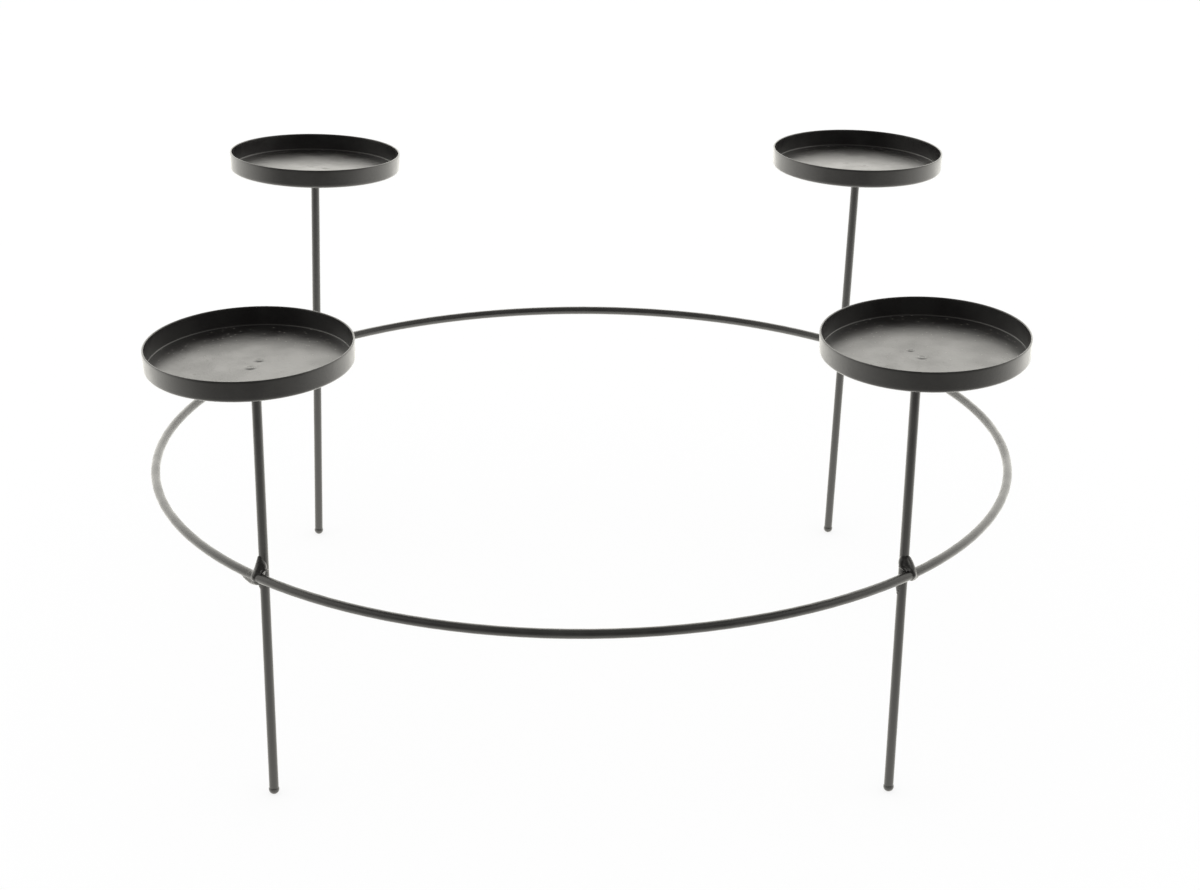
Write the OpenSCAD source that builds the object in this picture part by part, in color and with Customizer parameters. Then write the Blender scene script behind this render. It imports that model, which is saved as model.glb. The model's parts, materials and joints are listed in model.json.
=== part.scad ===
// Advent candle holder: a round wire wreath ring carried on four upright rods.
// Each rod is welded to the inside of the ring and carries a drawn candle dish on its top.
// Origin: on the floor, midway between the feet. +Z is up and -Y is the front.

/* [Wreath ring] */
// Diameter of the ring, from wire centre to wire centre
ring_d = 400; // [260:1:600]
// Diameter of the ring's wire over its powder coat
ring_wire_d = 4.15; // [3:0.05:8]
// Height of the ring's wire centre above the floor
ring_height = 106.2; // [60:0.1:150]

/* [Legs] */
// Diameter of the leg rods over their powder coat
leg_d = 4.15; // [3:0.05:8]
// Height of the rod tops above the floor, where the dishes sit
leg_height = 203.2; // [180:0.1:320]
// Angle from straight ahead to each front leg, in degrees
front_leg_angle = 43.6; // [30:0.1:60]
// Angle from straight behind to each back leg, in degrees
back_leg_angle = 45; // [30:0.1:60]
// How far the rounded foot swells past the rod
foot_swell = 0.25; // [0:0.05:1]
// Depth of the flat worn on the bottom of the foot
foot_flat = 0.2; // [0.1:0.05:0.5]

/* [Candle dishes] */
// Outside diameter of a dish at its rim
dish_d = 86; // [60:0.5:120]
// Outside height of a dish
dish_h = 9; // [6:0.1:20]
// Thickness of the drawn sheet
sheet_t = 0.8; // [0.6:0.05:1.2]
// Draft of the dish wall from upright, in degrees
wall_draft = 1.5; // [0.5:0.1:8]
// Outside radius where the wall turns into the floor
dish_corner_r = 1.3; // [1.3:0.1:3]

/* [Ring welds] */
// Clearance between the ring and each leg, which the weld fills
weld_gap = 0.1; // [0.05:0.05:0.5]
// How far the weld's ball stands proud of the ring's wire where the wire crosses the rod
weld_proud = 0.45; // [0.3:0.05:1]
// How far the weld sags under the ring's wire
weld_sag = 0.75; // [0.3:0.05:1.5]
// How far along the ring that sag reaches
sag_reach = 6.6; // [4:0.1:10]
// Height of the weld's top above the ring's wire centre
weld_climb = 7.6; // [6:0.1:12]
// Radius of the weld's topmost bead
top_bead_r = 1.2; // [0.7:0.05:1.5]
// How far the weld runs down the rod below the ring's wire centre
weld_run = 6.6; // [5:0.1:9]
// How far that run stands proud of the rod
run_proud = 0.55; // [0.2:0.05:1]

/* [Dish welds] */
// How far the weld collar under a dish spreads past the rod
collar_w = 0.8; // [0.4:0.05:2]
// Height of the weld collar under a dish
collar_h = 1.8; // [1:0.05:3]

/* [As welded] */
// Diameter of the sink marks that the welding left in the dish floors
sink_d = 3.6; // [2:0.1:5]
// Depth of the sink marks
sink_depth = 0.3; // [0.1:0.05:0.4]
// Sideways lean of the front legs, in degrees
front_lean = 0.6; // [-3:0.1:3]
// Sideways lean of the back legs, in degrees
back_lean = 1.9; // [-3:0.1:3]
// One step of the uneven heights and places of the dishes
dish_trim = 1; // [0:0.1:1.5]

/* [Hidden] */
$fn = 96;

coat = [0.13, 0.13, 0.135];
weld_coat = [0.08, 0.08, 0.085];

ring_r = ring_d / 2;
wire_r = ring_wire_d / 2;
leg_r = leg_d / 2;
// Distance from the ring's wire centre in to the rod's axis
leg_inset = wire_r + weld_gap + leg_r;
leg_circle_r = ring_r - leg_inset;
// Facets round the ring and round its wire
ring_fn = 288;
wire_fn = 48;
// Overrun of every cut past the face that it opens
cut_over = 1;

// The four stands, each a leg with its dish, by number
front_left = 0;
front_right = 1;
back_left = 2;
back_right = 3;
// Direction of each stand from the ring's centre
stand_angles = [
  -90 - front_leg_angle,
  -90 + front_leg_angle,
  90 + back_leg_angle,
  90 - back_leg_angle
];
stand_leans = [front_lean, front_lean, back_lean, back_lean];
// Side of the rod that the ring weld lies on, along the ring: 1 is anticlockwise from above
weld_sides = [-1, 1, 1, -1];
// Unevenness of the hand-welded dishes, in steps of dish_trim: to the right, to the back, up
dish_place_shares = [[-1.8, -1, -2.2], [2.7, 0.3, 0.8], [0, 0.2, 0.4], [0, 0.6, 1]];
// Tilt of each dish on its rod, in degrees: towards the right, towards the back
dish_tilts = [[-1.6, -1.4], [-1.2, -1.7], [0.1, 2.8], [-0.6, 1.2]];

// Places of each dish's two sink marks, to the right and to the back of its middle
sink_place_shares = [
  [[0.046, 0.005], [0.009, -0.09]],
  [[-0.075, 0.018], [-0.029, -0.079]],
  [[0.061, -0.015], [-0.042, 0.033]],
  [[0.045, -0.03], [-0.052, 0.024]]
];

// Beads of each ring weld: under the wire, up the rod and down the rod
sag_beads = 3;
climb_beads = 5;
run_beads = 2;
// Share of the rod's radius at which the climbing and running beads sit, outward and along the ring
bead_out_share = 0.5;
bead_along_share = 0.6;
// Share by which a run's middle bead swells, and by which its last one is left
bead_swell_share = 0.4;

function mix(a, b, t) = a + (b - a) * t;

// Height of a rod's top above the ring's wire centre
function rod_top(i) = leg_height - ring_height + dish_place_shares[i][2] * dish_trim;

// Moves its children to where the rod crosses the ring and leans them with the rod
module on_stand(i) {
  translate([leg_circle_r * cos(stand_angles[i]), leg_circle_r * sin(stand_angles[i]), ring_height])
    rotate([0, stand_leans[i], 0])
      children();
}

// Moves its children to the underside of a dish, tilted as the dish is welded
module on_dish(i) {
  on_stand(i)
    translate([dish_place_shares[i][0] * dish_trim, dish_place_shares[i][1] * dish_trim, rod_top(i)])
      rotate([-dish_tilts[i][1], dish_tilts[i][0], 0])
        children();
}

// Everything above the underside of a dish, to seat the rod and its collar against it
module above_dish_floor(i) {
  on_dish(i)
    cylinder(h = dish_h, r = dish_d / 2);
}

module ring_solid() {
  translate([0, 0, ring_height])
    rotate_extrude($fn = ring_fn)
      translate([ring_r, 0])
        circle(r = wire_r, $fn = wire_fn);
}

// Rod with a rounded, slightly swollen foot that stands flat on the floor
module leg_solid(i) {
  foot_r = leg_r + foot_swell;
  foot_z = (foot_r - foot_flat - ring_height) / cos(stand_leans[i]);
  difference() {
    on_stand(i) {
      translate([0, 0, foot_z])
        cylinder(h = rod_top(i) - foot_z + cut_over, r = leg_r);
      translate([0, 0, foot_z])
        sphere(r = foot_r);
    }
    translate([-ring_r, -ring_r, -leg_d])
      cube([ring_d, ring_d, leg_d]);
    above_dish_floor(i);
  }
}

// Weld beads on the ring's wire, each melted into the next. The origin is the wire's centre
module wire_beads(side) {
  sphere(r = wire_r + weld_proud);
  // Beads that sagged under the wire, deepest in the middle of their run
  for (k = [0:sag_beads - 1]) {
    t = k / (sag_beads - 1);
    sag = weld_sag * mix(sin(180 * t), 1, bead_swell_share);
    translate([0, side * mix(sag_reach - wire_r / 2, wire_r / 2, t), -sag])
      sphere(r = wire_r);
  }
}

// Weld beads on the rod. The origin is the rod's axis at the ring's height, with the ring towards +X
module rod_beads(side) {
  // Beads that climb the rod's outer face from the ball, fattest halfway up
  for (k = [1:climb_beads]) {
    t = k / climb_beads;
    translate([mix(leg_inset, leg_r * bead_out_share, t), 0, (weld_climb - top_bead_r) * t])
      sphere(r = mix(wire_r, top_bead_r, t) + weld_proud * sin(180 * t));
  }
  // The bead that closes the corner under the ring
  translate([leg_inset / 2, side * leg_r * bead_along_share, -weld_sag * 2])
    sphere(r = leg_r);
  // Beads that ran down the rod, thinning out
  turn = atan2(bead_along_share, bead_out_share);
  for (k = [1:run_beads]) {
    t = k / run_beads;
    run_bead_r = leg_r * mix(1, bead_along_share, t);
    off_axis = leg_r + run_proud * mix(1, bead_swell_share, t) - run_bead_r;
    run_z = run_bead_r - mix(leg_r + wire_r, weld_run, t);
    translate([off_axis * cos(turn), side * off_axis * sin(turn), run_z])
      sphere(r = run_bead_r);
  }
}

module ring_weld(i) {
  difference() {
    union() {
      rotate([0, 0, stand_angles[i]])
        translate([ring_r, 0, ring_height])
          wire_beads(weld_sides[i]);
      on_stand(i)
        rotate([0, 0, stand_angles[i]])
          rod_beads(weld_sides[i]);
    }
    ring_solid();
    leg_solid(i);
  }
}

// Section of a dish from its centre to its rim: floor, turned corner, drafted wall, rounded rim
module dish_section() {
  half_t = sheet_t / 2;
  mid_r = dish_corner_r - half_t;
  rim = [dish_d / 2 - half_t, dish_h - half_t];
  out = [cos(wall_draft), -sin(wall_draft)];
  up = [sin(wall_draft), cos(wall_draft)];
  corner_x = rim[0] - mid_r * out[0] - (rim[1] - dish_corner_r - mid_r * out[1]) * tan(wall_draft);
  corner = [corner_x, dish_corner_r];
  rim_axis_z = rim[1] + rim[0] * tan(wall_draft);
  difference() {
    union() {
      polygon([[0, 0], [corner_x, 0], corner + out * dish_corner_r, rim + out * half_t, [0, rim_axis_z]]);
      translate(corner)
        circle(r = dish_corner_r);
    }
    polygon([
      [0, sheet_t],
      [corner_x, sheet_t],
      corner + out * (dish_corner_r - sheet_t),
      rim - out * half_t + up * cut_over,
      [0, rim_axis_z + cut_over]
    ]);
    translate(corner)
      circle(r = dish_corner_r - sheet_t);
  }
  translate(rim)
    circle(r = half_t, $fn = wire_fn);
}

module candle_dish(i) {
  sink_r = (sink_d * sink_d / 4 + sink_depth * sink_depth) / (sink_depth * 2);
  on_dish(i)
    difference() {
      rotate_extrude()
        dish_section();
      for (place = sink_place_shares[i])
        translate([place[0] * dish_d, place[1] * dish_d, sheet_t - sink_depth + sink_r])
          sphere(r = sink_r);
    }
}

// Rolled weld collar round the rod's top, seated against the dish
module dish_weld(i) {
  difference() {
    on_stand(i)
      translate([0, 0, rod_top(i)])
        rotate_extrude()
          translate([leg_r, 0])
            intersection() {
              union() {
                translate([0, collar_w - collar_h])
                  square([collar_w, collar_h + cut_over]);
                translate([0, collar_w - collar_h])
                  circle(r = collar_w, $fn = wire_fn);
              }
              translate([0, -collar_h])
                square([collar_w, collar_h * 2 + cut_over]);
            }
    above_dish_floor(i);
  }
}

module wreath_ring() color(coat) ring_solid();

module leg_front_left() color(coat) leg_solid(front_left);
module leg_front_right() color(coat) leg_solid(front_right);
module leg_back_left() color(coat) leg_solid(back_left);
module leg_back_right() color(coat) leg_solid(back_right);

module ring_weld_front_left() color(weld_coat) ring_weld(front_left);
module ring_weld_front_right() color(weld_coat) ring_weld(front_right);
module ring_weld_back_left() color(weld_coat) ring_weld(back_left);
module ring_weld_back_right() color(weld_coat) ring_weld(back_right);

module candle_dish_front_left() color(coat) candle_dish(front_left);
module candle_dish_front_right() color(coat) candle_dish(front_right);
module candle_dish_back_left() color(coat) candle_dish(back_left);
module candle_dish_back_right() color(coat) candle_dish(back_right);

module dish_weld_front_left() color(weld_coat) dish_weld(front_left);
module dish_weld_front_right() color(weld_coat) dish_weld(front_right);
module dish_weld_back_left() color(weld_coat) dish_weld(back_left);
module dish_weld_back_right() color(weld_coat) dish_weld(back_right);

wreath_ring();
leg_front_left();
leg_front_right();
leg_back_left();
leg_back_right();
ring_weld_front_left();
ring_weld_front_right();
ring_weld_back_left();
ring_weld_back_right();
candle_dish_front_left();
candle_dish_front_right();
candle_dish_back_left();
candle_dish_back_right();
dish_weld_front_left();
dish_weld_front_right();
dish_weld_back_left();
dish_weld_back_right();
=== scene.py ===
"""Looks of an advent candle holder: a wire wreath ring on four rods, each with a candle dish.

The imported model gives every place. The dishes and the welds are built again here as finer meshes
that lie where the model has them, and the ring and the rods keep the model's own meshes.
"""

import json
import logging
import math
from dataclasses import astuple, dataclass
from enum import Enum, IntEnum
from typing import Any

import bmesh
import bpy
from mathutils import Matrix, Vector, noise


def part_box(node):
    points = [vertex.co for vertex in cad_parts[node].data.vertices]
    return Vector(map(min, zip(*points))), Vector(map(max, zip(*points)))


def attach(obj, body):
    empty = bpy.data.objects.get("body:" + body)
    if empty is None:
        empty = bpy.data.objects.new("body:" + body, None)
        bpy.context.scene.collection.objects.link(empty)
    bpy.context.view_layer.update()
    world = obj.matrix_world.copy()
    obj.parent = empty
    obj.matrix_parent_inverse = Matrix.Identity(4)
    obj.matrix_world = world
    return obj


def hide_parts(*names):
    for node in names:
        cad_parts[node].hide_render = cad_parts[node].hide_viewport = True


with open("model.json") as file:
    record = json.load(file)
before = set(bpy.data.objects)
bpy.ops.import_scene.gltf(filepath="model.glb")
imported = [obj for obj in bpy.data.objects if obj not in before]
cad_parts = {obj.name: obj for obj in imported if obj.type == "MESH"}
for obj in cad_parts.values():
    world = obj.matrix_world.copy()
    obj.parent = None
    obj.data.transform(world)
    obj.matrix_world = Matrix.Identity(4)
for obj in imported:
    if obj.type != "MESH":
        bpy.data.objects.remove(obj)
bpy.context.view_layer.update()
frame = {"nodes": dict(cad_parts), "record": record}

log = logging.getLogger("candle_holder")

MM = 0.001
UPWARD = Vector((0.0, 0.0, 1.0))

# The model's one body, its ring, and what its rods' names start with
BODY = "root"
RING = "wreath_ring"
ROD = "leg"

# Thickness of the dishes' sheet with its coat
SHEET = 0.8 * MM

# Nearly all of a noise texture lies between these values
NOISE_LOW = 0.3
NOISE_HIGH = 0.7

# How far apart two seeds read the smooth unevenness, in lumps
SEED_STEP = Vector((17.3, 5.1, 9.7))

WHITE = "#ffffff"
# The room's paint, as glossy surfaces mirror it, has a faint warmth
ROOM_WHITE = "#fffdf6"

Profile = list[tuple[float, float]]
Tree = bpy.types.NodeTree
Socket = bpy.types.NodeSocket


class Stand(Enum):
    """The four stands, each a rod with its dish, by the ending of their names."""

    FRONT_LEFT = "front_left"
    FRONT_RIGHT = "front_right"
    BACK_LEFT = "back_left"
    BACK_RIGHT = "back_right"

    def part(self, kind: str) -> str:
        """Name of this stand's own part of a kind."""
        return f"{kind}_{self.value}"

    @property
    def number(self) -> int:
        """Place of the stand in the list, which seeds its unevenness."""
        return list(Stand).index(self)


class Slot(Enum):
    """The model's material slots of the dishes and the welds."""

    DISH = "dish_coat"
    WELD = "weld_coat"


class MixInput(IntEnum):
    """Places of a Mix node's inputs, which share their names."""

    SHARE = 0
    FLOAT_A = 2
    FLOAT_B = 3
    COLOUR_A = 6
    COLOUR_B = 7


class MixOutput(IntEnum):
    """Places of a Mix node's results, which share their name."""

    FLOAT = 0
    COLOUR = 2


def linear(colour: str) -> tuple[float, float, float, float]:
    """Turns an sRGB hex colour into linear light.

    Args:
        colour: The colour, written as #rrggbb.

    Returns:
        Red, green and blue in linear light, and an alpha of 1.
    """
    parts = [int(colour[i : i + 2], 16) / 255 for i in (1, 3, 5)]
    red, green, blue = (c / 12.92 if c <= 0.04045 else ((c + 0.055) / 1.055) ** 2.4 for c in parts)
    return (red, green, blue, 1.0)


def add_node(
    tree: Tree,
    kind: str,
    values: dict[str | int, Any] | None = None,
    links: dict[str | int, Socket] | None = None,
    **settings: Any,
) -> bpy.types.Node:
    """Adds a node to a tree with its settings, its sockets' values and its links.

    Args:
        tree: The node tree.
        kind: Blender's name of the node's type.
        values: Values of input sockets, by name, or by place where several share a name.
        links: Output sockets of other nodes to join to input sockets, in the same way.
        **settings: The node's own properties.

    Returns:
        The new node.
    """
    node = tree.nodes.new(kind)
    for name, value in settings.items():
        setattr(node, name, value)
    for socket, value in (values or {}).items():
        node.inputs[socket].default_value = value
    for socket, source in (links or {}).items():
        tree.links.new(source, node.inputs[socket])
    return node


def new_material(name: str) -> tuple[bpy.types.Material, Tree]:
    """Makes an empty node material.

    Args:
        name: Name of the material.

    Returns:
        The material and its node tree, with no nodes.
    """
    material = bpy.data.materials.new(name)
    material.use_nodes = True
    material.node_tree.nodes.clear()
    return material, material.node_tree


def mesh_object(name: str, shape: bmesh.types.BMesh) -> bpy.types.Object:
    """Turns a shape into a smooth-shaded object in the scene.

    Args:
        name: Name of the piece.
        shape: The shape, which is freed.

    Returns:
        The object.
    """
    mesh = bpy.data.meshes.new(name)
    shape.to_mesh(mesh)
    shape.free()
    mesh.shade_smooth()
    piece = bpy.data.objects.new(name, mesh)
    bpy.context.scene.collection.objects.link(piece)
    return piece


def apply_modifiers(piece: bpy.types.Object) -> None:
    """Applies all of a piece's modifiers to its mesh.

    Args:
        piece: The piece, which gets a new mesh.
    """
    depsgraph = bpy.context.evaluated_depsgraph_get()
    mesh = bpy.data.meshes.new_from_object(piece.evaluated_get(depsgraph))
    piece.modifiers.clear()
    piece.data = mesh


def stand_in(
    piece: bpy.types.Object, node: str, coat: bpy.types.Material
) -> bpy.types.Object:
    """Dresses a piece and lets it stand for one of the model's own.

    Args:
        piece: The piece.
        node: Name of the model's node that it stands for.
        coat: Its finish.

    Returns:
        The piece.
    """
    piece.data.materials.append(coat)
    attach(piece, BODY)
    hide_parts(node)
    return piece


def spread(low: float, high: float, steps: int) -> list[float]:
    """Evenly spaced numbers from low to high, both included."""
    return [low + (high - low) * k / steps for k in range(steps + 1)]


def arc(centre: tuple[float, float], radius: float, start: float, end: float, steps: int) -> Profile:
    """Points along an arc of a profile.

    Args:
        centre: The arc's centre (radius, height).
        radius: The arc's own radius.
        start: First angle in degrees, from outward towards up.
        end: Last angle in degrees.
        steps: Number of steps along the arc.

    Returns:
        The points, both ends included.
    """
    angles = [math.radians(angle) for angle in spread(start, end, steps)]
    return [(centre[0] + radius * math.cos(a), centre[1] + radius * math.sin(a)) for a in angles]


def between(start: tuple[float, float], end: tuple[float, float], steps: int) -> Profile:
    """Points along a straight stretch of a profile.

    Args:
        start: Where it starts (radius, height).
        end: Where it ends.
        steps: Number of steps along it.

    Returns:
        The points, both ends left out.
    """
    shares = spread(0.0, 1.0, steps)[1:-1]
    return [(start[0] + (end[0] - start[0]) * t, start[1] + (end[1] - start[1]) * t) for t in shares]


def lathe(profile: Profile, segments: int) -> bmesh.types.BMesh:
    """Turns a profile round the Z axis.

    Args:
        profile: Points (radius, height). The first and the last lie on the axis.
        segments: Number of segments round the axis.

    Returns:
        The closed shape.
    """
    shape = bmesh.new()
    rings: list[list[bmesh.types.BMVert]] = []
    for radius, height in profile[1:-1]:
        ring = []
        for k in range(segments):
            turn = math.tau * k / segments
            ring.append(shape.verts.new((radius * math.cos(turn), radius * math.sin(turn), height)))
        rings.append(ring)
    for lower, upper in zip(rings, rings[1:]):
        for k in range(segments):
            following = (k + 1) % segments
            shape.faces.new((lower[k], upper[k], upper[following], lower[following]))
    for (_, height), ring in ((profile[0], rings[0]), (profile[-1], rings[-1])):
        tip = shape.verts.new((0.0, 0.0, height))
        for k in range(segments):
            shape.faces.new((tip, ring[k], ring[(k + 1) % segments]))
    bmesh.ops.recalc_face_normals(shape, faces=shape.faces)
    return shape


def mount(name: str) -> dict[str, Any]:
    """One of the model's mounts, by its name."""
    return next(m for m in frame["record"]["mounts"] if m["name"] == name)


def seat(stand: Stand) -> Matrix:
    """The place and tilt of a dish's floor, from the model's own mount.

    Args:
        stand: The dish's stand.

    Returns:
        The matrix that moves a dish from the origin to its place.
    """
    floor = mount(stand.part("candle_seat"))
    tilt = UPWARD.rotation_difference(Vector(floor["axis"]))
    return Matrix.Translation(Vector(floor["pos_m"])) @ tilt.to_matrix().to_4x4()


def uneven(point: Vector, size: float, seed: int) -> float:
    """Smooth unevenness between about -1 and 1.

    Args:
        point: Where it is read, in metres.
        size: Size of its lumps, in metres.
        seed: Number that picks the pattern.

    Returns:
        The unevenness there.
    """
    return noise.noise(point / size + SEED_STEP * (seed + 1))


@dataclass(frozen=True)
class SatinPowderCoat:
    """Black polyester powder coat, sprayed on steel and baked.

    It gives the eye a near-black skin with a soft, wide sheen, and the faint orange peel that the
    powder leaves as it flows out. Looked at along the surface, the sheen turns pale grey.
    """

    name: str
    colour: str = "#110f0f"
    thin_colour: str = "#191817"
    ior: float = 1.5
    roughness: float = 0.32
    roughness_spread: float = 0.04
    # Orange peel is 0.5 mm across on the real coat, and drawn coarser than that so that it shows
    peel_size: float = 1.3 * MM
    peel_depth: float = 0.02 * MM
    peel_detail: float = 2.0
    # Clouding where the powder lies thicker or thinner
    cloud_size: float = 12 * MM
    cloud_detail: float = 3.0
    cloud_grain: float = 0.55
    # Dust baked into the coat, which settled on level faces as pale flecks; drawn coarser than real
    dust_colour: str = "#918e89"
    dust_spacing: float = 2.6 * MM
    # Radius of a fleck, as a share of the flecks' spacing
    dust_size_share: float = 0.2
    dust_height: float = 0.015 * MM
    dust_roughness: float = 0.9
    # Faces count as level where the upward share of their normal is more than this
    level_from: float = 0.9

    def material(self) -> bpy.types.Material:
        """Makes the coat.

        Returns:
            The coat as a node material.
        """
        material, tree = new_material(self.name)
        place = add_node(tree, "ShaderNodeTexCoord").outputs["Object"]
        thinness = self.thinness(tree, place)
        dust = self.dust(tree, place)
        skin = add_node(
            tree,
            "ShaderNodeMix",
            {MixInput.COLOUR_A: linear(self.colour), MixInput.COLOUR_B: linear(self.thin_colour)},
            {MixInput.SHARE: thinness},
            data_type="RGBA",
        )
        colour = add_node(
            tree,
            "ShaderNodeMix",
            {MixInput.COLOUR_B: linear(self.dust_colour)},
            {MixInput.SHARE: dust, MixInput.COLOUR_A: skin.outputs[MixOutput.COLOUR]},
            data_type="RGBA",
        )
        satin = add_node(
            tree,
            "ShaderNodeMix",
            {
                MixInput.FLOAT_A: self.roughness - self.roughness_spread,
                MixInput.FLOAT_B: self.roughness + self.roughness_spread,
            },
            {MixInput.SHARE: thinness},
            data_type="FLOAT",
        )
        roughness = add_node(
            tree,
            "ShaderNodeMix",
            {MixInput.FLOAT_B: self.dust_roughness},
            {MixInput.SHARE: dust, MixInput.FLOAT_A: satin.outputs[MixOutput.FLOAT]},
            data_type="FLOAT",
        )
        shader = add_node(
            tree,
            "ShaderNodeBsdfPrincipled",
            {"IOR": self.ior},
            {
                "Base Color": colour.outputs[MixOutput.COLOUR],
                "Roughness": roughness.outputs[MixOutput.FLOAT],
                "Normal": self.relief(tree, place, dust),
            },
        )
        add_node(tree, "ShaderNodeOutputMaterial", None, {"Surface": shader.outputs["BSDF"]})
        return material

    def thinness(self, tree: Tree, place: Socket) -> Socket:
        """Soft clouds where the powder lies thin.

        Args:
            tree: The node tree.
            place: Coordinates on the piece, in metres.

        Returns:
            The socket of the clouds' share, 1 where the powder is thinnest.
        """
        clouds = add_node(
            tree,
            "ShaderNodeTexNoise",
            {"Scale": 1 / self.cloud_size, "Detail": self.cloud_detail, "Roughness": self.cloud_grain},
            {"Vector": place},
        )
        share = add_node(
            tree,
            "ShaderNodeMapRange",
            {"From Min": NOISE_LOW, "From Max": NOISE_HIGH},
            {"Value": clouds.outputs["Fac"]},
            interpolation_type="SMOOTHSTEP",
        )
        return share.outputs["Result"]

    def dust(self, tree: Tree, place: Socket) -> Socket:
        """Flecks of dust, only on faces that lie level.

        Args:
            tree: The node tree.
            place: Coordinates on the piece, in metres.

        Returns:
            The socket of the dust's share, 1 in the middle of a fleck.
        """
        flecks = add_node(
            tree,
            "ShaderNodeTexVoronoi",
            {"Scale": 1 / self.dust_spacing},
            {"Vector": place},
        )
        fleck = add_node(
            tree,
            "ShaderNodeMapRange",
            {"From Max": self.dust_size_share, "To Min": 1.0, "To Max": 0.0},
            {"Value": flecks.outputs["Distance"]},
            interpolation_type="SMOOTHSTEP",
        )
        facing = add_node(tree, "ShaderNodeNewGeometry").outputs["True Normal"]
        axes = add_node(tree, "ShaderNodeSeparateXYZ", None, {"Vector": facing})
        level = add_node(
            tree,
            "ShaderNodeMapRange",
            {"From Min": self.level_from, "From Max": 1.0},
            {"Value": axes.outputs["Z"]},
            interpolation_type="SMOOTHSTEP",
        )
        settled = add_node(
            tree,
            "ShaderNodeMath",
            None,
            {0: fleck.outputs["Result"], 1: level.outputs["Result"]},
            operation="MULTIPLY",
        )
        return settled.outputs["Value"]

    def relief(self, tree: Tree, place: Socket, dust: Socket) -> Socket:
        """Orange peel with the dust's bumps on it.

        Args:
            tree: The node tree.
            place: Coordinates on the piece, in metres.
            dust: The dust's share.

        Returns:
            The bumped normal's socket.
        """
        peel = add_node(
            tree,
            "ShaderNodeTexNoise",
            {"Scale": 1 / self.peel_size, "Detail": self.peel_detail},
            {"Vector": place},
        )
        peel_bump = add_node(
            tree,
            "ShaderNodeBump",
            {"Distance": self.peel_depth},
            {"Height": peel.outputs["Fac"]},
        )
        dust_bump = add_node(
            tree,
            "ShaderNodeBump",
            {"Distance": self.dust_height},
            {"Height": dust, "Normal": peel_bump.outputs["Normal"]},
        )
        return dust_bump.outputs["Normal"]


# The same black coat in three copies: a little greyer on the wires, which is painted light, and darker
# on the welds, which is painted shade, as well as glossier there
# Its colours are painted light: greyer than the coat itself, standing for the sheen that the rods show
WIRE_COAT_WITH_PAINTED_LIGHT = SatinPowderCoat(
    "satin_black_powder_coat_on_wire_painted_lighter",
    colour="#1c1b1a",
    thin_colour="#242322",
    roughness=0.36,
    peel_size=0.9 * MM,
)
DISH_COAT = SatinPowderCoat("satin_black_powder_coat_on_sheet")
# Its colours are painted shade: darker than the coat itself, standing for the dim room that the welds'
# upturned faces mirror
WELD_COAT_WITH_PAINTED_SHADE = SatinPowderCoat(
    "satin_black_powder_coat_on_welds_painted_darker",
    colour="#0f0e0d",
    thin_colour="#171615",
    roughness=0.26,
    peel_size=0.7 * MM,
)


@dataclass(frozen=True)
class StudioPaper:
    """Matt white studio paper, lit from behind the object.

    It gives the eye one even white, with only the faint shadow of what stands on it. What is glossy
    mirrors it as it is lit: bright behind the object and dim towards the camera.
    """

    name: str = "matt_white_studio_paper"
    colour: str = "#fafafa"
    mirrored_colour: str = ROOM_WHITE
    # Share of plain white in what the camera sees, which keeps only a faint shadow
    glow_share: float = 0.8
    # What is mirrored grows from dim to bright between two places, from front to back
    dim_radiance: float = 0.3
    bright_radiance: float = 3.0
    dim_y: float = -800 * MM
    bright_y: float = 150 * MM

    def material(self) -> bpy.types.Material:
        """Makes the paper.

        Returns:
            The paper as a node material, which shows itself to the camera as near white.
        """
        material, tree = new_material(self.name)
        ray = add_node(tree, "ShaderNodeLightPath")
        share = add_node(
            tree,
            "ShaderNodeMath",
            {1: self.glow_share},
            {0: ray.outputs["Is Camera Ray"]},
            operation="MULTIPLY",
        )
        paper = add_node(tree, "ShaderNodeBsdfDiffuse", {"Color": linear(self.colour)})
        glow = add_node(tree, "ShaderNodeEmission", {"Color": linear(WHITE), "Strength": 1.0})
        seen = add_node(
            tree,
            "ShaderNodeMixShader",
            None,
            {"Fac": share.outputs["Value"], 1: paper.outputs["BSDF"], 2: glow.outputs["Emission"]},
        )
        surface = add_node(
            tree,
            "ShaderNodeMixShader",
            None,
            {"Fac": ray.outputs["Is Glossy Ray"], 1: seen.outputs["Shader"], 2: self.mirrored(tree)},
        )
        add_node(tree, "ShaderNodeOutputMaterial", None, {"Surface": surface.outputs["Shader"]})
        return material

    def mirrored(self, tree: Tree) -> Socket:
        """The paper as glossy surfaces mirror it.

        Args:
            tree: The node tree.

        Returns:
            The socket of its light.
        """
        place = add_node(tree, "ShaderNodeTexCoord").outputs["Object"]
        axes = add_node(tree, "ShaderNodeSeparateXYZ", None, {"Vector": place})
        lit = add_node(
            tree,
            "ShaderNodeMapRange",
            {
                "From Min": self.dim_y,
                "From Max": self.bright_y,
                "To Min": self.dim_radiance,
                "To Max": self.bright_radiance,
            },
            {"Value": axes.outputs["Y"]},
            interpolation_type="SMOOTHSTEP",
        )
        light = add_node(
            tree,
            "ShaderNodeEmission",
            {"Color": linear(self.mirrored_colour)},
            {"Strength": lit.outputs["Result"]},
        )
        return light.outputs["Emission"]


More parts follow.
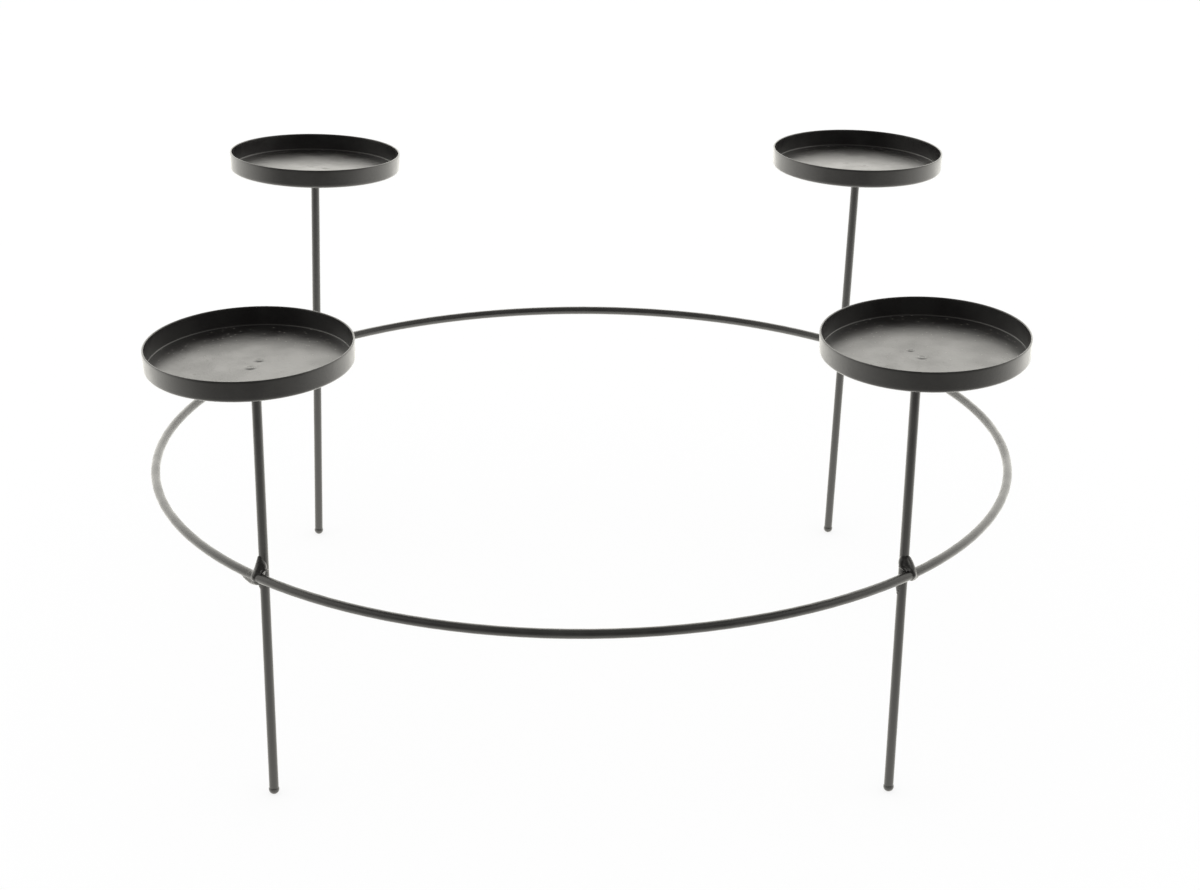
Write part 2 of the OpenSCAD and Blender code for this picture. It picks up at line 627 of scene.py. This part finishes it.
@dataclass
class PhotoCamera:
    """The camera of the reference picture, found by fitting the object's own sizes to it.

    Angles are in degrees. The focal length and the optical centre are in the picture's pixels.
    """

    place: tuple[float, float, float] = (-7.56 * MM, -1085.78 * MM, 545.51 * MM)
    yaw: float = 0.5936
    pitch: float = 23.4476
    roll: float = 0.0555
    image_size: tuple[int, int] = (1200, 890)
    focal_length_px: float = 2463.17
    centre_px: tuple[float, float] = (589.49, 507.81)
    # Blender's sensor width is in millimetres, and its view runs between these distances in metres
    sensor_width: float = 36.0
    nearest: float = 0.01
    farthest: float = 100.0

    def build(self) -> None:
        """Adds the camera and makes it the scene's own."""
        camera = bpy.data.objects.new("photo_camera", self.lens())
        camera.matrix_world = Matrix.Translation(Vector(self.place)) @ self.turn()
        bpy.context.scene.collection.objects.link(camera)
        bpy.context.scene.camera = camera

    def lens(self) -> bpy.types.Camera:
        """Makes the lens, shifted by as much as the picture's crop is off centre.

        Returns:
            The camera's data.
        """
        width, height = self.image_size
        lens = bpy.data.cameras.new("photo_camera")
        lens.sensor_fit = "HORIZONTAL"
        lens.sensor_width = self.sensor_width
        lens.lens = self.focal_length_px * self.sensor_width / width
        lens.shift_x = (width / 2 - self.centre_px[0]) / width
        lens.shift_y = (self.centre_px[1] - height / 2) / width
        lens.clip_start = self.nearest
        lens.clip_end = self.farthest
        return lens

    def turn(self) -> Matrix:
        """The camera's direction.

        Returns:
            The matrix that turns the camera from looking down.
        """
        yaw, pitch, roll = (math.radians(a) for a in (self.yaw, self.pitch, self.roll))
        ahead = Vector(
            (math.sin(yaw) * math.cos(pitch), math.cos(yaw) * math.cos(pitch), -math.sin(pitch))
        )
        level = Vector((math.cos(yaw), -math.sin(yaw), 0.0))
        upright = level.cross(ahead)
        right = level * math.cos(roll) + upright * math.sin(roll)
        up = upright * math.cos(roll) - level * math.sin(roll)
        return Matrix((right, up, -ahead)).transposed().to_4x4()


@dataclass
class Studio:
    """White studio: even soft light, a paper floor, and walls that glossy surfaces mirror.

    The wall behind the object is the brightest, and the room on the camera's side is dim.
    """

    # Side of the floor in metres, and its faces along a side
    floor_size: float = 12.0
    floor_steps: int = 24
    # Light that falls on the object from all round, and the walls' light that glossy surfaces mirror
    even_radiance: float = 1.07
    back_radiance: float = 3.3
    side_radiance: float = 1.9
    front_radiance: float = 0.25
    top_radiance: float = 0.4
    # How far round the room from its sides the back and the front have their full light, as a sine
    full_turn: float = 0.8
    # Heights of the directions between which the walls turn into the ceiling, as sines
    ceiling_starts: float = 0.6
    ceiling_ends: float = 0.95

    def build(self) -> None:
        """Adds the floor and the room's light, and sets the view transform."""
        bpy.context.scene.view_settings.view_transform = "Standard"
        self.floor()
        self.room()

    def floor(self) -> None:
        """Lays the paper under the object."""
        shape = bmesh.new()
        bmesh.ops.create_grid(
            shape, x_segments=self.floor_steps, y_segments=self.floor_steps, size=self.floor_size / 2
        )
        paper = mesh_object("studio_paper", shape)
        paper.data.materials.append(StudioPaper().material())

    def room(self) -> None:
        """Lights the object evenly, with the walls for glossy surfaces and plain white to the camera."""
        world = bpy.data.worlds.new("white_studio")
        world.use_nodes = True
        tree = world.node_tree
        tree.nodes.clear()
        ray = add_node(tree, "ShaderNodeLightPath")
        light = add_node(
            tree,
            "ShaderNodeMix",
            {MixInput.FLOAT_A: self.even_radiance},
            {MixInput.SHARE: ray.outputs["Is Glossy Ray"], MixInput.FLOAT_B: self.walls(tree)},
            data_type="FLOAT",
        )
        strength = add_node(
            tree,
            "ShaderNodeMix",
            {MixInput.FLOAT_B: 1.0},
            {
                MixInput.SHARE: ray.outputs["Is Camera Ray"],
                MixInput.FLOAT_A: light.outputs[MixOutput.FLOAT],
            },
            data_type="FLOAT",
        )
        colour = add_node(
            tree,
            "ShaderNodeMix",
            {MixInput.COLOUR_A: linear(WHITE), MixInput.COLOUR_B: linear(ROOM_WHITE)},
            {MixInput.SHARE: ray.outputs["Is Glossy Ray"]},
            data_type="RGBA",
        )
        background = add_node(
            tree,
            "ShaderNodeBackground",
            None,
            {"Color": colour.outputs[MixOutput.COLOUR], "Strength": strength.outputs[MixOutput.FLOAT]},
        )
        add_node(tree, "ShaderNodeOutputWorld", None, {"Surface": background.outputs["Background"]})
        bpy.context.scene.world = world

    def walls(self, tree: Tree) -> Socket:
        """The radiance of the walls and the ceiling by direction.

        Args:
            tree: The world's node tree.

        Returns:
            The radiance's socket.
        """
        direction = add_node(tree, "ShaderNodeTexCoord").outputs["Generated"]
        axes = add_node(tree, "ShaderNodeSeparateXYZ", None, {"Vector": direction})
        side_to_back = add_node(
            tree,
            "ShaderNodeMapRange",
            {"From Max": self.full_turn, "To Min": self.side_radiance, "To Max": self.back_radiance},
            {"Value": axes.outputs["Y"]},
            interpolation_type="SMOOTHSTEP",
        )
        past_front = add_node(
            tree,
            "ShaderNodeMapRange",
            {"From Min": -self.full_turn, "From Max": 0.0},
            {"Value": axes.outputs["Y"]},
            interpolation_type="SMOOTHSTEP",
        )
        walls = add_node(
            tree,
            "ShaderNodeMix",
            {MixInput.FLOAT_A: self.front_radiance},
            {
                MixInput.SHARE: past_front.outputs["Result"],
                MixInput.FLOAT_B: side_to_back.outputs["Result"],
            },
            data_type="FLOAT",
        )
        overhead = add_node(
            tree,
            "ShaderNodeMapRange",
            {"From Min": self.ceiling_starts, "From Max": self.ceiling_ends},
            {"Value": axes.outputs["Z"]},
            interpolation_type="SMOOTHSTEP",
        )
        room = add_node(
            tree,
            "ShaderNodeMix",
            {MixInput.FLOAT_B: self.top_radiance},
            {
                MixInput.SHARE: overhead.outputs["Result"],
                MixInput.FLOAT_A: walls.outputs[MixOutput.FLOAT],
            },
            data_type="FLOAT",
        )
        return room.outputs[MixOutput.FLOAT]


@dataclass
class Wirework:
    """The ring and its four rods, bent and cut from one wire. They keep the model's own meshes."""

    names: tuple[str, ...] = (RING, *(stand.part(ROD) for stand in Stand))

    def dress(self, coat: bpy.types.Material) -> list[bpy.types.Object]:
        """Gives the ring and the rods their finish.

        Args:
            coat: The finish.

        Returns:
            The model's own objects.
        """
        wires = [frame["nodes"][name] for name in self.names]
        for wire in wires:
            wire.data.materials.clear()
            wire.data.materials.append(coat)
        return wires


@dataclass(frozen=True)
class SinkMark:
    """A mark that the weld under a dish left on its floor, in millimetres from the floor's middle."""

    x: float
    y: float
    radius: float
    # Height of the rim that the sheet pushed up at the mark's front
    rim: float


# Each dish has two marks, as the picture shows them, and those at the back are faint
SINK_MARKS: dict[Stand, tuple[SinkMark, SinkMark]] = {
    Stand.FRONT_LEFT: (SinkMark(3.7, 1.1, 1.8, 0.26), SinkMark(1.0, -6.9, 1.9, 0.3)),
    Stand.FRONT_RIGHT: (SinkMark(-5.6, 1.6, 1.3, 0.2), SinkMark(-2.0, -6.2, 1.7, 0.22)),
    Stand.BACK_LEFT: (SinkMark(5.3, -0.9, 1.6, 0.2), SinkMark(-1.6, 2.4, 1.9, 0.17)),
    Stand.BACK_RIGHT: (SinkMark(3.9, -1.9, 1.5, 0.09), SinkMark(-4.5, 2.8, 1.4, 0.07)),
}


@dataclass
class CandleDish:
    """A shallow round dish drawn from sheet, with two sink marks that its welding left."""

    stand: Stand
    across: float = 86 * MM
    deep: float = 9 * MM
    sheet: float = SHEET
    corner: float = 1.3 * MM
    # Slope of the wall from upright, in degrees
    draft: float = 1.5
    segments: int = 288
    # The floor's middle, where the sink marks lie, has the finer rings
    fine_reach: float = 12 * MM
    fine_rings: int = 60
    floor_rings: int = 34
    wall_rings: int = 10
    arc_steps: int = 8
    # The floor springs back a little as it is drawn, by so much at its middle
    crown: float = 0.15 * MM
    # Uneven drawing of the wall, inward only
    wall_wave: float = 0.08 * MM
    wave_size: float = 17.2 * MM
    sink_depth: float = 0.12 * MM
    # Width of the rim in front of a mark, in the mark's radii, and how fast it fades round the mark
    rim_width: float = 0.38
    rim_fade: float = 1.5

    def profile(self) -> Profile:
        """Draws the dish's section.

        Returns:
            Points from the floor's middle over the rim to the underside's middle.
        """
        slope = math.radians(self.draft)
        out = Vector((math.cos(slope), -math.sin(slope)))
        half = self.sheet / 2
        rim = Vector((self.across / 2 - half, self.deep - self.sheet - half))
        # The corner's centre lies so that the sheet's middle line leaves its bend straight for the rim
        bend = self.corner - half
        corner_z = self.corner - self.sheet
        drop = rim.y - corner_z - bend * out.y
        corner_x = rim.x - bend * out.x - drop * math.tan(slope)
        inner = arc((corner_x, corner_z), self.corner - self.sheet, -90, -self.draft, self.arc_steps)
        outer = arc((corner_x, corner_z), self.corner, -self.draft, -90, self.arc_steps)
        turn = arc((rim.x, rim.y), half, 180 - self.draft, -self.draft, self.arc_steps)
        middle = [(r, 0.0) for r in spread(0.0, self.fine_reach, self.fine_rings)]
        floor = [(r, 0.0) for r in spread(self.fine_reach, corner_x, self.floor_rings)[1:-1]]
        under = [(r, -self.sheet) for r in spread(corner_x, 0.0, self.floor_rings)[1:]]
        inner_wall = between(inner[-1], turn[0], self.wall_rings)
        outer_wall = between(turn[-1], outer[0], self.wall_rings)
        return middle + floor + inner + inner_wall + turn + outer_wall + outer + under

    def sunk(self, x: float, y: float) -> float:
        """How far the floor sinks at a place, by its weld marks.

        Args:
            x: To the right of the floor's middle, in metres.
            y: Behind the floor's middle, in metres.

        Returns:
            The depth in metres, which is negative on the rim in front of a mark.
        """
        depth = 0.0
        for mark in SINK_MARKS[self.stand]:
            aside = x / MM - mark.x
            behind = y / MM - mark.y
            share = math.hypot(aside, behind) / mark.radius
            front = (1 - math.sin(math.atan2(behind, aside))) / 2
            ridge = math.exp(-(((share - 1) / self.rim_width) ** 2))
            depth += self.sink_depth * max(0.0, 1 - share**2) ** 2
            depth -= mark.rim * MM * ridge * front**self.rim_fade
        return depth

    def build(self, coat: bpy.types.Material) -> bpy.types.Object:
        """Builds the dish in place of the model's own.

        Args:
            coat: Its finish.

        Returns:
            The piece.
        """
        shape = lathe(self.profile(), self.segments)
        floor_radius = self.across / 2 - self.corner
        for vert in shape.verts:
            radius = math.hypot(vert.co.x, vert.co.y)
            on_floor = vert.co.z > -self.sheet / 2
            if radius < floor_radius:
                vert.co.z += self.crown * (math.cos(math.pi * radius / floor_radius) + 1) / 2
                vert.co.z -= self.sunk(vert.co.x, vert.co.y) if on_floor else 0.0
            else:
                wave = (uneven(vert.co, self.wave_size, self.stand.number) + 1) / 2
                vert.co.xy *= 1 - self.wall_wave * wave / radius
        shape.transform(seat(self.stand))
        piece = mesh_object(self.stand.part("drawn_dish"), shape)
        return stand_in(piece, self.stand.part("candle_dish"), coat)


@dataclass(frozen=True)
class Crossing:
    """Where a rod of the model passes the ring, and the directions that its welds follow."""

    wire: Vector
    wire_radius: float
    rod: Vector
    out: Vector
    along: Vector
    up: Vector

    @classmethod
    def of(cls, stand: Stand) -> "Crossing":
        """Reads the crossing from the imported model.

        Args:
            stand: The stand whose rod it is.

        Returns:
            The crossing, with its along direction towards the side that the weld sags to.
        """
        low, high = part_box(RING)
        wire_radius = (high.z - low.z) / 2
        height = (high.z + low.z) / 2
        foot = Vector(mount(stand.part("foot"))["pos_m"])
        points = [vert.co for vert in frame["nodes"][stand.part(ROD)].data.vertices]
        # The middle of the rod's points above the ring lies on its axis
        above = [point for point in points if point.z > height]
        up = (sum(above, Vector()) / len(above) - foot).normalized()
        rod = foot + up * (height / up.z)
        out = Vector((rod.x, rod.y, 0.0)).normalized()
        wire = out * ((high.x - low.x) / 2 - wire_radius) + UPWARD * height
        tangent = Vector((-out.y, out.x, 0.0))
        weld_low, weld_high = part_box(stand.part("ring_weld"))
        side = 1 if ((weld_low + weld_high) / 2 - wire).dot(tangent) > 0 else -1
        return cls(wire, wire_radius, rod, out, tangent * side, up)

    @property
    def inset(self) -> float:
        """Distance from the wire's centre to the rod's axis."""
        return (self.wire - self.rod).length

    def by_wire(self, along: float, height: float) -> Vector:
        """A place beside the wire's centre, along the ring and above it."""
        return self.wire + self.along * along + UPWARD * height

    def by_rod(self, reach: float, turn: float, height: float) -> Vector:
        """A place beside the rod.

        Args:
            reach: Distance from the rod's axis.
            turn: Direction in degrees, from outward round towards the weld's side.
            height: Height up the rod above the ring's wire.

        Returns:
            The place.
        """
        angle = math.radians(turn)
        aside = self.out * math.cos(angle) + self.along * math.sin(angle)
        return self.rod + aside * reach + self.up * height


@dataclass(frozen=True)
class Bead:
    """One ball of weld metal, in the frame's own metres."""

    centre: Vector
    radius: float


@dataclass(frozen=True)
class WeldMetal:
    """Weld metal that ran together from beads and set, with a ripple from each pulse of the arc."""

    # Grain of the mesh, and how much it is smoothed where beads run together
    grain: float = 0.2 * MM
    smoothing: float = 0.5
    smoothing_steps: int = 6
    bead_subdivisions: int = 3
    ripple_size: float = 0.9 * MM
    ripple_height: float = 0.07 * MM

    def melted(self, name: str, beads: list[Bead], seed: int) -> bpy.types.Object:
        """Melts beads into one closed skin. The mesh is made in millimetres and then scaled.

        Args:
            name: Name of the piece.
            beads: The beads, which overlap.
            seed: Number that picks the ripples.

        Returns:
            The object.
        """
        shape = bmesh.new()
        for bead in beads:
            bmesh.ops.create_icosphere(
                shape,
                subdivisions=self.bead_subdivisions,
                radius=bead.radius / MM,
                matrix=Matrix.Translation(bead.centre / MM),
            )
        piece = mesh_object(name, shape)
        skin = piece.modifiers.new("skin", "REMESH")
        skin.mode = "VOXEL"
        skin.voxel_size = self.grain / MM
        flow = piece.modifiers.new("flow", "SMOOTH")
        flow.factor = self.smoothing
        flow.iterations = self.smoothing_steps
        apply_modifiers(piece)
        piece.data.transform(Matrix.Scale(MM, 4))
        normals = [vert.normal.copy() for vert in piece.data.vertices]
        for vert, normal in zip(piece.data.vertices, normals):
            vert.co += normal * self.ripple_height * uneven(vert.co, self.ripple_size, seed)
        piece.data.shade_smooth()
        return piece


WELD_METAL = WeldMetal()


@dataclass(frozen=True)
class RodBead:
    """A bead beside a rod: its distance from the axis, direction, height and radius.

    Lengths are in millimetres, the direction is in degrees from outward round towards the side
    that the weld sags to, and the height is above the ring's wire.
    """

    reach: float
    turn: float
    height: float
    radius: float

    def placed(self, crossing: Crossing) -> Bead:
        """The bead at a crossing, in the frame's own metres."""
        return Bead(crossing.by_rod(self.reach * MM, self.turn, self.height * MM), self.radius * MM)


@dataclass(frozen=True)
class Lobe:
    """A row of beads in a smooth curve through three of them."""

    start: RodBead
    middle: RodBead
    end: RodBead
    steps: int = 10

    def beads(self, crossing: Crossing) -> list[Bead]:
        """Lays the row, with each value on the parabola through the three beads' own.

        Args:
            crossing: The crossing that it lies at.

        Returns:
            The beads from start to end.
        """
        columns = list(zip(*(astuple(bead) for bead in (self.start, self.middle, self.end))))
        beads = []
        for t in spread(0.0, 1.0, self.steps):
            shares = ((1 - t) * (1 - 2 * t), 4 * t * (1 - t), t * (2 * t - 1))
            mixed = (sum(share * value for share, value in zip(shares, column)) for column in columns)
            beads.append(RodBead(*mixed).placed(crossing))
        return beads


# The metal that climbed the rod's outer face from the crossing, and the lip that curled up beside it
BALL = RodBead(4.25, 0.0, 0.0, 2.5)
FILLET = Lobe(BALL, RodBead(2.25, -10.0, 4.2, 2.45), RodBead(1.8, 8.0, 7.9, 1.15))
RIDGE = Lobe(
    RodBead(2.3, -38.0, 4.5, 1.75), RodBead(2.05, -28.0, 5.6, 1.65), RodBead(1.6, -6.0, 7.1, 1.35)
)
CURLED_LIP = Lobe(
    RodBead(3.5, -74.0, 3.0, 0.6), RodBead(4.5, -47.0, 3.5, 0.65), RodBead(4.8, -29.0, 1.7, 0.6)
)
# The front right weld has a broader mass across the rod's face, with a straight flank beside it
FLANK = Lobe(BALL, RodBead(2.55, 0.0, 4.6, 2.1), RodBead(1.5, -5.0, 7.4, 1.1))
LEFT_MASS = Lobe(
    RodBead(2.3, -66.0, 4.8, 1.8), RodBead(1.85, -70.0, 6.0, 1.7), RodBead(1.05, -71.0, 7.0, 1.45)
)
MIDDLE_MASS = Lobe(
    RodBead(3.2, -14.0, 3.2, 2.1), RodBead(2.4, -30.0, 5.0, 2.05), RodBead(1.25, -22.0, 6.7, 1.65)
)
SLANTED_LIP = Lobe(
    RodBead(3.8, -78.0, 4.0, 0.6), RodBead(4.6, -58.0, 3.7, 0.65), RodBead(4.9, -40.0, 2.5, 0.6)
)


@dataclass
class RingWeld:
    """The weld of a rod to the ring: a ball at the crossing with lobes up the rod's outer face.

    Under the ring it sagged along the wire, and some of it ran down the rod. Both rows of beads
    start with the wire's radius and thin out by a share of it.
    """

    stand: Stand
    lobes: tuple[Lobe, ...] = (FILLET, RIDGE, CURLED_LIP)
    sag: float = 0.9 * MM
    sag_reach: float = 6.6 * MM
    sag_steps: int = 9
    sag_thinning: float = 0.3
    # The sag follows half a wave that has run by this share of it at the crossing
    sag_phase: float = 0.3
    # Shares of the sag's depth that have beads, close enough to leave no hole up to the wire
    sag_layers: tuple[float, ...] = (0.35, 0.7, 1.0)
    # Metal that wets the wire all round, and ends as far under the wire's skin as it starts above
    sleeve: float = 0.2 * MM
    # The bead that closes the corner under the ring
    corner_turn: float = 30.0
    corner_depth: float = 1.5 * MM
    run_start: float = 3.4 * MM
    run_end: float = 6.8 * MM
    run_steps: int = 6
    run_thinning: float = 0.4
    run_turn: float = 40.0
    run_proud: float = 0.7 * MM

    def sagged(self, crossing: Crossing) -> list[Bead]:
        """The metal that sagged under the wire.

        Args:
            crossing: The crossing that it lies at.

        Returns:
            Its beads, from the crossing along the wire.
        """
        beads = []
        for t in spread(0.0, 1.0, self.sag_steps):
            radius = crossing.wire_radius * (1 - self.sag_thinning * t)
            depth = self.sag * math.sin(math.pi * (self.sag_phase + (1 - self.sag_phase) * t))
            along = (self.sag_reach - radius) * t
            for layer in self.sag_layers:
                height = (radius - crossing.wire_radius - depth) * layer
                beads.append(Bead(crossing.by_wire(along, height), radius))
            sleeve = crossing.wire_radius + self.sleeve * (1 - 2 * t)
            beads.append(Bead(crossing.by_wire(along, 0.0), sleeve))
        return beads

    def run(self, crossing: Crossing) -> list[Bead]:
        """The metal that closes the corner under the ring and ran down the rod's side.

        Args:
            crossing: The crossing that it lies at.

        Returns:
            Its beads, from the ring down the rod.
        """
        corner = crossing.by_rod(crossing.inset / 2, self.corner_turn, -self.corner_depth)
        beads = [Bead(corner, crossing.wire_radius)]
        for t in spread(0.0, 1.0, self.run_steps):
            radius = crossing.wire_radius * (1 - self.run_thinning * t)
            reach = crossing.wire_radius + self.run_proud * (1 - t**2) - radius
            height = -self.run_start - (self.run_end - self.run_start) * t
            beads.append(Bead(crossing.by_rod(reach, self.run_turn, height), radius))
        return beads

    def build(self, coat: bpy.types.Material) -> bpy.types.Object:
        """Builds the weld in place of the model's own.

        Args:
            coat: Its finish.

        Returns:
            The piece.
        """
        crossing = Crossing.of(self.stand)
        beads = self.sagged(crossing) + self.run(crossing)
        for lobe in self.lobes:
            beads += lobe.beads(crossing)
        piece = WELD_METAL.melted(self.stand.part("ring_weld_bead"), beads, self.stand.number)
        return stand_in(piece, self.stand.part("ring_weld"), coat)


# The welds differ in how far they sagged, and in the side of the rod that they ran down
RING_WELDS = (
    RingWeld(
        Stand.FRONT_LEFT,
        sag=2.1 * MM,
        sag_reach=10.5 * MM,
        run_turn=35.0,
        run_proud=0.9 * MM,
    ),
    RingWeld(
        Stand.FRONT_RIGHT,
        lobes=(FLANK, LEFT_MASS, MIDDLE_MASS, SLANTED_LIP),
        sag=1.0 * MM,
        sag_reach=5.6 * MM,
        run_turn=-130.0,
        run_end=11.0 * MM,
        run_proud=1.0 * MM,
    ),
    RingWeld(Stand.BACK_LEFT),
    RingWeld(Stand.BACK_RIGHT, sag_reach=7.2 * MM),
)


@dataclass
class DishWeld:
    """The collar of weld beads round a rod's top, against the dish's underside."""

    stand: Stand
    sheet: float = SHEET
    count: int = 13
    radius: float = 0.85 * MM
    radius_spread: float = 0.12 * MM
    # How far the collar reaches below the dish
    height: float = 1.5 * MM

    def build(self, coat: bpy.types.Material) -> bpy.types.Object:
        """Builds the collar in place of the model's own.

        Args:
            coat: Its finish.

        Returns:
            The piece.
        """
        crossing = Crossing.of(self.stand)
        dish = seat(self.stand)
        normal = dish.to_3x3() @ UPWARD
        under = dish.translation - normal * self.sheet
        rod_top = (under - crossing.rod).dot(normal) / crossing.up.dot(normal)
        beads = []
        for k in range(self.count):
            centre = crossing.by_rod(crossing.wire_radius, 360 * k / self.count, rod_top)
            radius = self.radius + self.radius_spread * uneven(centre, self.radius, self.stand.number)
            centre -= normal * ((centre - under).dot(normal) + self.height - radius)
            beads.append(Bead(centre, radius))
        piece = WELD_METAL.melted(self.stand.part("dish_weld_collar"), beads, self.stand.number)
        return stand_in(piece, self.stand.part("dish_weld"), coat)


def main() -> None:
    """Builds the studio and the candle holder, piece by piece."""
    logging.basicConfig(level=logging.INFO, format="%(name)s: %(message)s")
    PhotoCamera().build()
    Studio().build()
    for wire in Wirework().dress(WIRE_COAT_WITH_PAINTED_LIGHT.material()):
        log.info("wire %s", wire.name)
    dish_coat = DISH_COAT.material()
    # The welds' coat carries painted shade in its darker colours
    weld_coat = WELD_COAT_WITH_PAINTED_SHADE.material()
    for stand in Stand:
        log.info("dish %s", CandleDish(stand).build(dish_coat).name)
        log.info("dish weld %s", DishWeld(stand).build(weld_coat).name)
    for weld in RING_WELDS:
        log.info("ring weld %s", weld.build(weld_coat).name)


if __name__ == "__main__":
    main()
